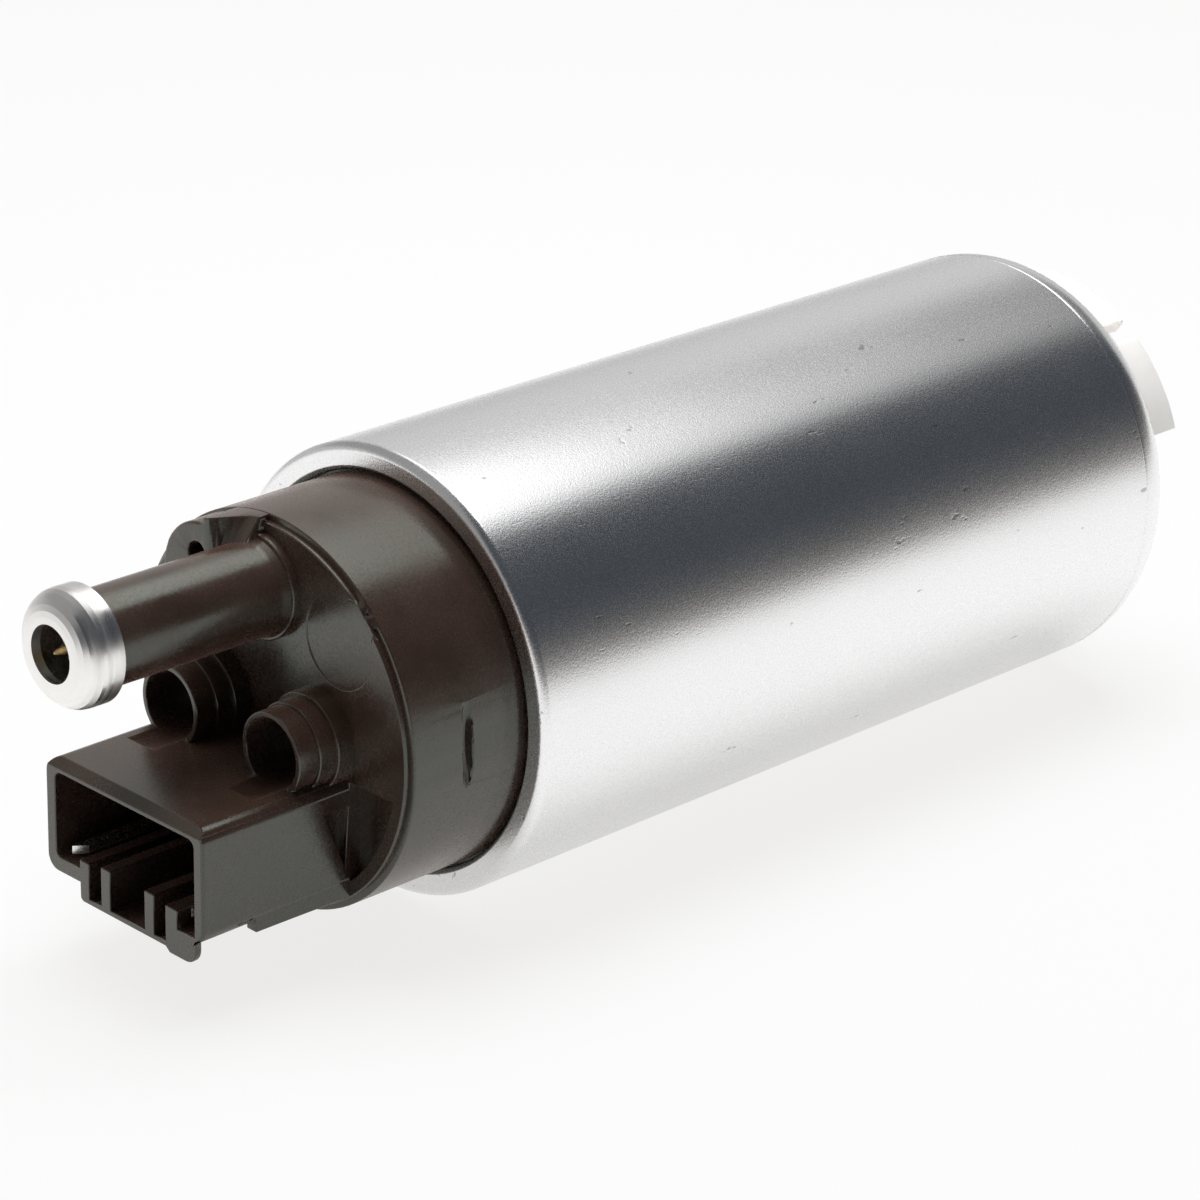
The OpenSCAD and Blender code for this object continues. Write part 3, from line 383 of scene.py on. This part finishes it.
def soften_point(point):
    """Moves a point of the cover's face, of the edge round it or of the dent to where it shows."""
    deep = point.x - FACE_X
    out = math.hypot(point.y, point.z)
    edge_slope = EDGE_DEPTH / (COVER_R - EDGE_R)
    in_dish = math.hypot(point.y - DISH_Y, point.z - DISH_Z) < DISH_R + TINY
    if -TINY < deep < DISH_DEPTH + TINY and 0 < out - OLD_EDGE_R < OLD_EDGE_BAND:
        # The edge's inner line, also where the dish meets it
        point.x = FACE_X + max(deep, 0) * DISH_KEPT
        new_out = EDGE_R + (point.x - FACE_X) / edge_slope
        point.y, point.z = point.y * new_out / out, point.z * new_out / out
    elif TINY < deep < DISH_DEPTH + TINY and in_dish:
        point.x = FACE_X + deep * DISH_KEPT
    elif abs(deep - OLD_EDGE_DEPTH) < TINY and abs(out - COVER_R) < TINY:
        # The edge's outer line
        point.x = FACE_X + EDGE_DEPTH
    elif abs(deep) < 2 * TINY and out > EDGE_R + TINY:
        # The relief tower's rear edge, which closes up to the cover's side
        point.x = FACE_X + (out - EDGE_R) * edge_slope
    elif in_dent(point):
        side_y = -math.sqrt(COVER_R ** 2 - point.z ** 2)
        point.x = DENT_X + (point.x - DENT_X) * DENT_WIDER
        point.y = side_y + (point.y - side_y) * DENT_DEEPER


def slope_tower(shape):
    """Slopes the relief tower's front back towards the tube, in one smooth curve."""
    for share in RAMP_CUTS:
        cut_faces(shape, on_tower_front, (0, TUBE_Y + share * (RAMP_START - TUBE_Y), 0), (0, 1, 0))
    bent = {}
    for vert in shape.verts:
        y, z = vert.co.y, vert.co.z
        if on_tower_front(vert.co) and y < RAMP_START and z > TUBE_Z:
            tube_top = TUBE_Z + math.sqrt(max(TUBE_R ** 2 - (y - TUBE_Y) ** 2, 0))
            cover_top = math.sqrt(COVER_R ** 2 - y ** 2)
            up = share_of(z, tube_top, cover_top)
            along = share_of(y, RAMP_START, TUBE_Y)
            smooth = along ** 2 * (3 - 2 * along)
            vert.co.x += smooth * (RAMP_LOW + (RAMP_HIGH - RAMP_LOW) * up)
            bent.update(dict.fromkeys(vert.link_faces))
    bmesh.ops.triangulate(shape, faces=list(bent))


def soften_cover(shape):
    """Gives the cover a narrower edge round its face, a fainter dish, a wider dent and a sloped tower."""
    for height in DENT_CUTS:
        cut_faces(shape, in_dent, (0, 0, height), (0, 0, 1))
    for vert in shape.verts:
        soften_point(vert.co)
    slope_tower(shape)


def cover_width(edge):
    """How wide an edge of the outlet cover is rounded."""
    middle = (edge.verts[0].co + edge.verts[1].co) / 2
    on_mouth = all(abs(vert.co.x - SOCKET_X) < TINY for vert in edge.verts)
    if on_mouth and middle.y < SOCKET_ROUND - SOCKET_HALF:
        # The socket's mouth, on its side towards -Y
        return SOCKET_ROUND
    if all(on_tower_front(vert.co) for vert in edge.verts):
        return TOWER_ROUND
    return COVER_ROUND


def can_width(edge):
    """How wide an edge of the can is rounded: its front lip only, since the rear is one smooth roll."""
    return LIP_ROUND if edge.verts[0].co.x < 0 else 0.0


def rounded(node, body, width_of, sharp_degrees, reshape=None):
    """A copy of a node with its outer sharp edges rounded, as a moulded or rolled piece has them."""
    mesh, shape = opened(node)
    bmesh.ops.dissolve_limit(shape, angle_limit=FLAT_ANGLE, verts=shape.verts, edges=shape.edges)
    bmesh.ops.dissolve_degenerate(shape, dist=SHORTEST, edges=shape.edges)
    if reshape:
        reshape(shape)
    weight = shape.edges.layers.float.new("bevel_weight_edge")
    for edge in shape.edges:
        if edge.is_manifold and edge.calc_face_angle(0) > math.radians(sharp_degrees):
            if edge.is_convex:
                edge[weight] = width_of(edge) / WIDEST_ROUND
            else:
                edge.smooth = False
    for face in shape.faces:
        face.smooth = True
    shape.to_mesh(mesh)
    shape.free()
    made = piece_from(mesh, node, "_rounded", body)
    bevel = made.modifiers.new("edge", "BEVEL")
    bevel.width = WIDEST_ROUND
    bevel.segments = 3
    bevel.limit_method = "WEIGHT"
    bevel.use_clamp_overlap = False
    # Flat faces keep their shading up to the rounded edges
    shading = made.modifiers.new("flat", "WEIGHTED_NORMAL")
    shading.mode = "FACE_AREA"
    shading.weight = 80
    shading.keep_sharp = True
    depsgraph = bpy.context.evaluated_depsgraph_get()
    final = bpy.data.meshes.new_from_object(made.evaluated_get(depsgraph))
    made.modifiers.clear()
    made.data = final


def slant_tip(node, body, start, direction):
    """A copy of a pin with the end of its inner side cut off by a slanting plane."""
    mesh, shape = opened(node)
    whole = shape.verts[:] + shape.edges[:] + shape.faces[:]
    cut = bmesh.ops.bisect_plane(shape, geom=whole, dist=PIN_SNAP, plane_co=start, plane_no=direction,
                                 clear_outer=True)
    rim = [part for part in cut["geom_cut"] if isinstance(part, bmesh.types.BMEdge)]
    bmesh.ops.contextual_create(shape, geom=rim)
    shape.to_mesh(mesh)
    shape.free()
    mesh.shade_flat()
    piece_from(mesh, node, "_pin", body)


def coil(node, body, wire_mm, turns):
    """A round-wire coil in place of a CAD spring.
    """
    low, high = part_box(node)
    middle = (low + high) / 2
    length = high.x - low.x
    wire = wire_mm * MM / 2
    radius = (high.z - low.z) / 2 - wire
    rise = 2 * wire + END_GAP
    rings = WIRE_STEPS * turns

    def station(turn):
        """Where the wire is along X, from the low end, with a close turn at both ends."""
        if turn < 1:
            return wire + rise * turn
        if turn > turns - 1:
            return length - wire - rise * (turns - turn)
        return wire + rise + (length - 2 * wire - 2 * rise) * (turn - 1) / (turns - 2)

    points, faces = [], []
    for ring in range(rings + 1):
        turn = ring / WIRE_STEPS
        around = 2 * math.pi * turn
        out = Vector((0, math.cos(around), math.sin(around)))
        centre = Vector((low.x + station(turn), middle.y, middle.z)) + out * radius
        for side in range(WIRE_SIDES):
            a = 2 * math.pi * side / WIRE_SIDES
            points.append(centre + wire * (math.sin(a) * Vector((1, 0, 0)) + math.cos(a) * out))
    for ring in range(rings):
        for side in range(WIRE_SIDES):
            a = ring * WIRE_SIDES + side
            b = ring * WIRE_SIDES + (side + 1) % WIRE_SIDES
            faces.append((a, b, b + WIRE_SIDES, a + WIRE_SIDES))
    faces.append(tuple(reversed(range(WIRE_SIDES))))
    faces.append(tuple(range(rings * WIRE_SIDES, (rings + 1) * WIRE_SIDES)))
    mesh = bpy.data.meshes.new(node + "_coil")
    mesh.from_pydata(points, [], faces)
    mesh.shade_smooth()
    made = piece_from(mesh, node, "_coil", body)
    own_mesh(made)


rounded("outlet_cover", "housing", cover_width, sharp_degrees=30, reshape=soften_cover)
rounded("can", "housing", can_width, sharp_degrees=15)
for terminal, side in (("terminal_left", 1), ("terminal_right", -1)):
    slant_tip(terminal, "housing", (PIN_X, side * PIN_Y, 0), (PIN_SLANT[0], side * PIN_SLANT[1], 0))
coil("check_valve_spring", "housing", wire_mm=0.35, turns=8)
coil("relief_valve_spring", "housing", wire_mm=0.35, turns=7)
coil("brush_spring_left", "housing", wire_mm=0.4, turns=10)
coil("brush_spring_right", "housing", wire_mm=0.4, turns=10)


# Studio

FLOOR_SIZE = 3.0
# The paper as it lights the pump
PAPER_ALBEDO = 0.8
# The paper as it shows: what light adds to it and a shadow takes away, and its own glow
SHOWN_ALBEDO = (0.125, 0.13, 0.14)
PAPER_GLOW = (0.815, 0.808, 0.795)
# Reflections mix in this share of the shown paper, with this much more glow
REFLECTED_SHARE = 0.75
REFLECTED_GLOW = 0.06

# Grey levels of the world: as the camera sees it, and as it lights the pump from the front and from behind
BACKGROUND = 0.97
SKY_DIFFUSE = (0.05, 0.6)
SKY_EDGE = (-0.1, 0.02)
# Behind the pump, reflections show a darker room towards the outlet's end than towards the inlet's
SKY_FRONT = 0.3
SKY_GLOSSY = 0.62
SKY_FRONT_EDGE = (0.25, 0.6)
# What they show on the camera's side, from the horizon up: warm, then bluish
DIM_SIDE = ((0.0, (0.26, 0.235, 0.22)), (0.1, (0.15, 0.14, 0.135)), (0.22, (0.07, 0.074, 0.08)),
            (0.4, (0.046, 0.054, 0.066)), (1.0, (0.065, 0.07, 0.078)))

# The ceiling card: its spans, its three levels of glow, and where it dims and fades
CEILING_X = (-0.05, 0.7)
CEILING_Y = (-0.09, 0.4)
CEILING_Z = 0.29
CEILING_GLOW = (2.8, 0.68, 0.16)
CEILING_NEAR = (0.115, 0.225)
CEILING_FAR = (0.225, 0.37)
CEILING_START = (0.02, 0.08)
CEILING_EDGE = (-0.078, -0.048)
CEILING_BACK = (0.12, 0.3)
# The wall card: its spans, its glow from the floor up, and where it fades
WALL_X = (-0.5, 1.4)
WALL_Y = 0.45
WALL_Z = (FLOOR_Z, 0.16)
WALL_GLOW = (0.5, 0.6)
WALL_GLOW_RISE = (0.0, 0.14)
WALL_FADE = (0.1, 0.16)

SOFTBOX_PLACE = (0.04, 0.05, 0.46)
SOFTBOX_SIZE = 0.35
SOFTBOX_POWER = 2.9


def floor():
    """White paper under the pump. It shows near white, and keeps the shadow."""
    bpy.ops.mesh.primitive_plane_add(size=FLOOR_SIZE, location=(0, 0, FLOOR_Z))
    plane = bpy.context.object
    plane.name = "floor"
    paper = Shader("paper", (PAPER_ALBEDO,) * 3, roughness=0.9, Specular_IOR_Level=0.1)
    path = paper.node("ShaderNodeLightPath").outputs
    glossy = paper.spread(path["Is Glossy Ray"], 0, REFLECTED_SHARE, start=0, end=1)
    first = paper.combine(path["Is Camera Ray"], glossy, "MAXIMUM")
    seen = paper.combine(first, path["Is Transmission Ray"], "MAXIMUM")
    glow = paper.node("ShaderNodeEmission")
    glow.inputs["Color"].default_value = (*PAPER_GLOW, 1)
    strength = paper.spread(path["Is Glossy Ray"], 1, 1 + REFLECTED_GLOW, start=0, end=1)
    paper.link(strength, glow.inputs["Strength"])
    shade = paper.node("ShaderNodeBsdfDiffuse")
    shade.inputs["Color"].default_value = (*SHOWN_ALBEDO, 1)
    both = paper.node("ShaderNodeAddShader")
    paper.link(shade.outputs[0], both.inputs[0])
    paper.link(glow.outputs[0], both.inputs[1])
    shown = paper.node("ShaderNodeMixShader")
    paper.link(seen, shown.inputs["Fac"])
    paper.link(paper.bsdf.outputs[0], shown.inputs[1])
    paper.link(both.outputs[0], shown.inputs[2])
    paper.show(shown.outputs[0])
    plane.data.materials.append(paper.material)


def world():
    """White behind the pump, soft light from behind it, and a dim room on the camera's side."""
    studio = bpy.data.worlds.new("studio")
    bpy.context.scene.world = studio
    studio.use_nodes = True
    tree = studio.node_tree

    def rise(value, span, kind="LINEAR"):
        """Goes from 0 to 1 over a span of a value."""
        made = tree.nodes.new("ShaderNodeMapRange")
        made.interpolation_type = kind
        made.inputs["From Min"].default_value = span[0]
        made.inputs["From Max"].default_value = span[1]
        tree.links.new(value, made.inputs["Value"])
        return made.outputs["Result"]

    def blend(factor, low, high):
        """Mixes two colours, each a socket or a grey level."""
        made = tree.nodes.new("ShaderNodeMix")
        made.data_type = "RGBA"
        tree.links.new(factor, made.inputs["Factor"])
        for value, socket in ((low, made.inputs[MIX_LOW]), (high, made.inputs[MIX_HIGH])):
            if isinstance(value, float):
                socket.default_value = (value, value, value, 1)
            else:
                tree.links.new(value, socket)
        return made.outputs[MIX_RESULT]

    separate = tree.nodes.new("ShaderNodeSeparateXYZ")
    tree.links.new(tree.nodes.new("ShaderNodeTexCoord").outputs["Generated"], separate.inputs[0])
    towards = separate.outputs
    dim = tree.nodes.new("ShaderNodeValToRGB")
    stops = dim.color_ramp.elements
    while len(stops) < len(DIM_SIDE):
        stops.new(0.5)
    for stop, (height, color) in zip(stops, DIM_SIDE):
        stop.position = height
        stop.color = (*color, 1)
    tree.links.new(towards["Z"], dim.inputs["Fac"])

    path = tree.nodes.new("ShaderNodeLightPath").outputs
    behind = rise(towards["Y"], SKY_EDGE, "SMOOTHSTEP")
    sky = blend(rise(towards["X"], SKY_FRONT_EDGE), SKY_FRONT, SKY_GLOSSY)
    glossy = blend(behind, dim.outputs["Color"], sky)
    diffuse = blend(behind, *SKY_DIFFUSE)
    lit = blend(path["Is Glossy Ray"], diffuse, glossy)
    through = blend(path["Is Transmission Ray"], lit, BACKGROUND)
    shown = blend(path["Is Camera Ray"], through, BACKGROUND)
    ground = tree.nodes["Background"]
    tree.links.new(shown, ground.inputs["Color"])
    ground.inputs["Strength"].default_value = 1


def softbox():
    """A square soft lamp over the pump. Neither the camera nor a reflection shows it."""
    data = bpy.data.lights.new("softbox", "AREA")
    data.shape = "SQUARE"
    data.size = SOFTBOX_SIZE
    data.energy = SOFTBOX_POWER
    made = bpy.data.objects.new("softbox", data)
    bpy.context.scene.collection.objects.link(made)
    made.location = SOFTBOX_PLACE
    made.rotation_euler = (-Vector(SOFTBOX_PLACE)).to_track_quat("-Z", "Y").to_euler()
    made.visible_camera = False
    made.visible_glossy = False


def corners(across, up):
    """A rectangle's four corners in turn, from its two spans."""
    return [(across[0], up[0]), (across[1], up[0]), (across[1], up[1]), (across[0], up[1])]


def card(name, points, glow_of, shown_of):
    """A glowing card that only reflections show. Its glow and its fade follow from the place on it."""
    mesh = bpy.data.meshes.new(name)
    mesh.from_pydata(points, [], [(0, 1, 2, 3)])
    made = bpy.data.objects.new(name, mesh)
    bpy.context.scene.collection.objects.link(made)
    cloth = Shader(name, (0, 0, 0), roughness=1)
    separate = cloth.node("ShaderNodeSeparateXYZ")
    cloth.link(cloth.place, separate.inputs[0])
    glow = cloth.node("ShaderNodeEmission")
    cloth.link(glow_of(cloth, separate.outputs), glow.inputs["Strength"])
    shown = cloth.node("ShaderNodeMixShader")
    cloth.link(shown_of(cloth, separate.outputs), shown.inputs["Fac"])
    cloth.link(cloth.node("ShaderNodeBsdfTransparent").outputs[0], shown.inputs[1])
    cloth.link(glow.outputs[0], shown.inputs[2])
    cloth.show(shown.outputs[0])
    mesh.materials.append(cloth.material)
    made.visible_camera = False
    made.visible_diffuse = False
    made.visible_shadow = False
    made.visible_transmission = False


def ceiling_glow(cloth, place):
    """Brightest over the outlet, and dimmer to the rear."""
    front, middle, rear = CEILING_GLOW
    near = cloth.spread(place["X"], front, middle, *CEILING_NEAR)
    far = cloth.spread(place["X"], 0, rear - middle, *CEILING_FAR)
    return cloth.combine(near, far)


def ceiling_shown(cloth, place):
    """Faded out at the outlet's end and along both sides."""
    edge = cloth.spread(place["Y"], 0, 1, *CEILING_EDGE)
    back = cloth.spread(place["Y"], 1, 0, *CEILING_BACK)
    start = cloth.spread(place["X"], 0, 1, *CEILING_START)
    return cloth.combine(cloth.combine(edge, back, "MULTIPLY"), start, "MULTIPLY")


def wall_glow(cloth, place):
    return cloth.spread(place["Z"], *WALL_GLOW, *WALL_GLOW_RISE)


def wall_shown(cloth, place):
    return cloth.spread(place["Z"], 1, 0, *WALL_FADE)


floor()
world()
card("ceiling", [(x, y, CEILING_Z) for x, y in corners(CEILING_X, CEILING_Y)], ceiling_glow, ceiling_shown)
card("wall", [(x, WALL_Y, z) for x, z in corners(WALL_X, WALL_Z)], wall_glow, wall_shown)
softbox()


# Camera: the photograph's, from a fit of the can's and the cover's circles

CAMERA_PLACE = (-0.25686, -0.24204, 0.14207)
CAMERA_TURN = (68.978, -1.557, -45.056)
CAMERA_LENS = 128.32
CAMERA_SENSOR = 36
CAMERA_SHIFT = (-0.0419, -0.0993)
CAMERA_CLIP = 0.01


def camera():
    data = bpy.data.cameras.new("camera")
    data.sensor_width = CAMERA_SENSOR
    data.lens = CAMERA_LENS
    data.shift_x, data.shift_y = CAMERA_SHIFT
    data.clip_start = CAMERA_CLIP
    made = bpy.data.objects.new("camera", data)
    bpy.context.scene.collection.objects.link(made)
    made.location = CAMERA_PLACE
    made.rotation_euler = [math.radians(angle) for angle in CAMERA_TURN]
    bpy.context.scene.camera = made


camera()
bpy.context.scene.view_settings.view_transform = "Standard"
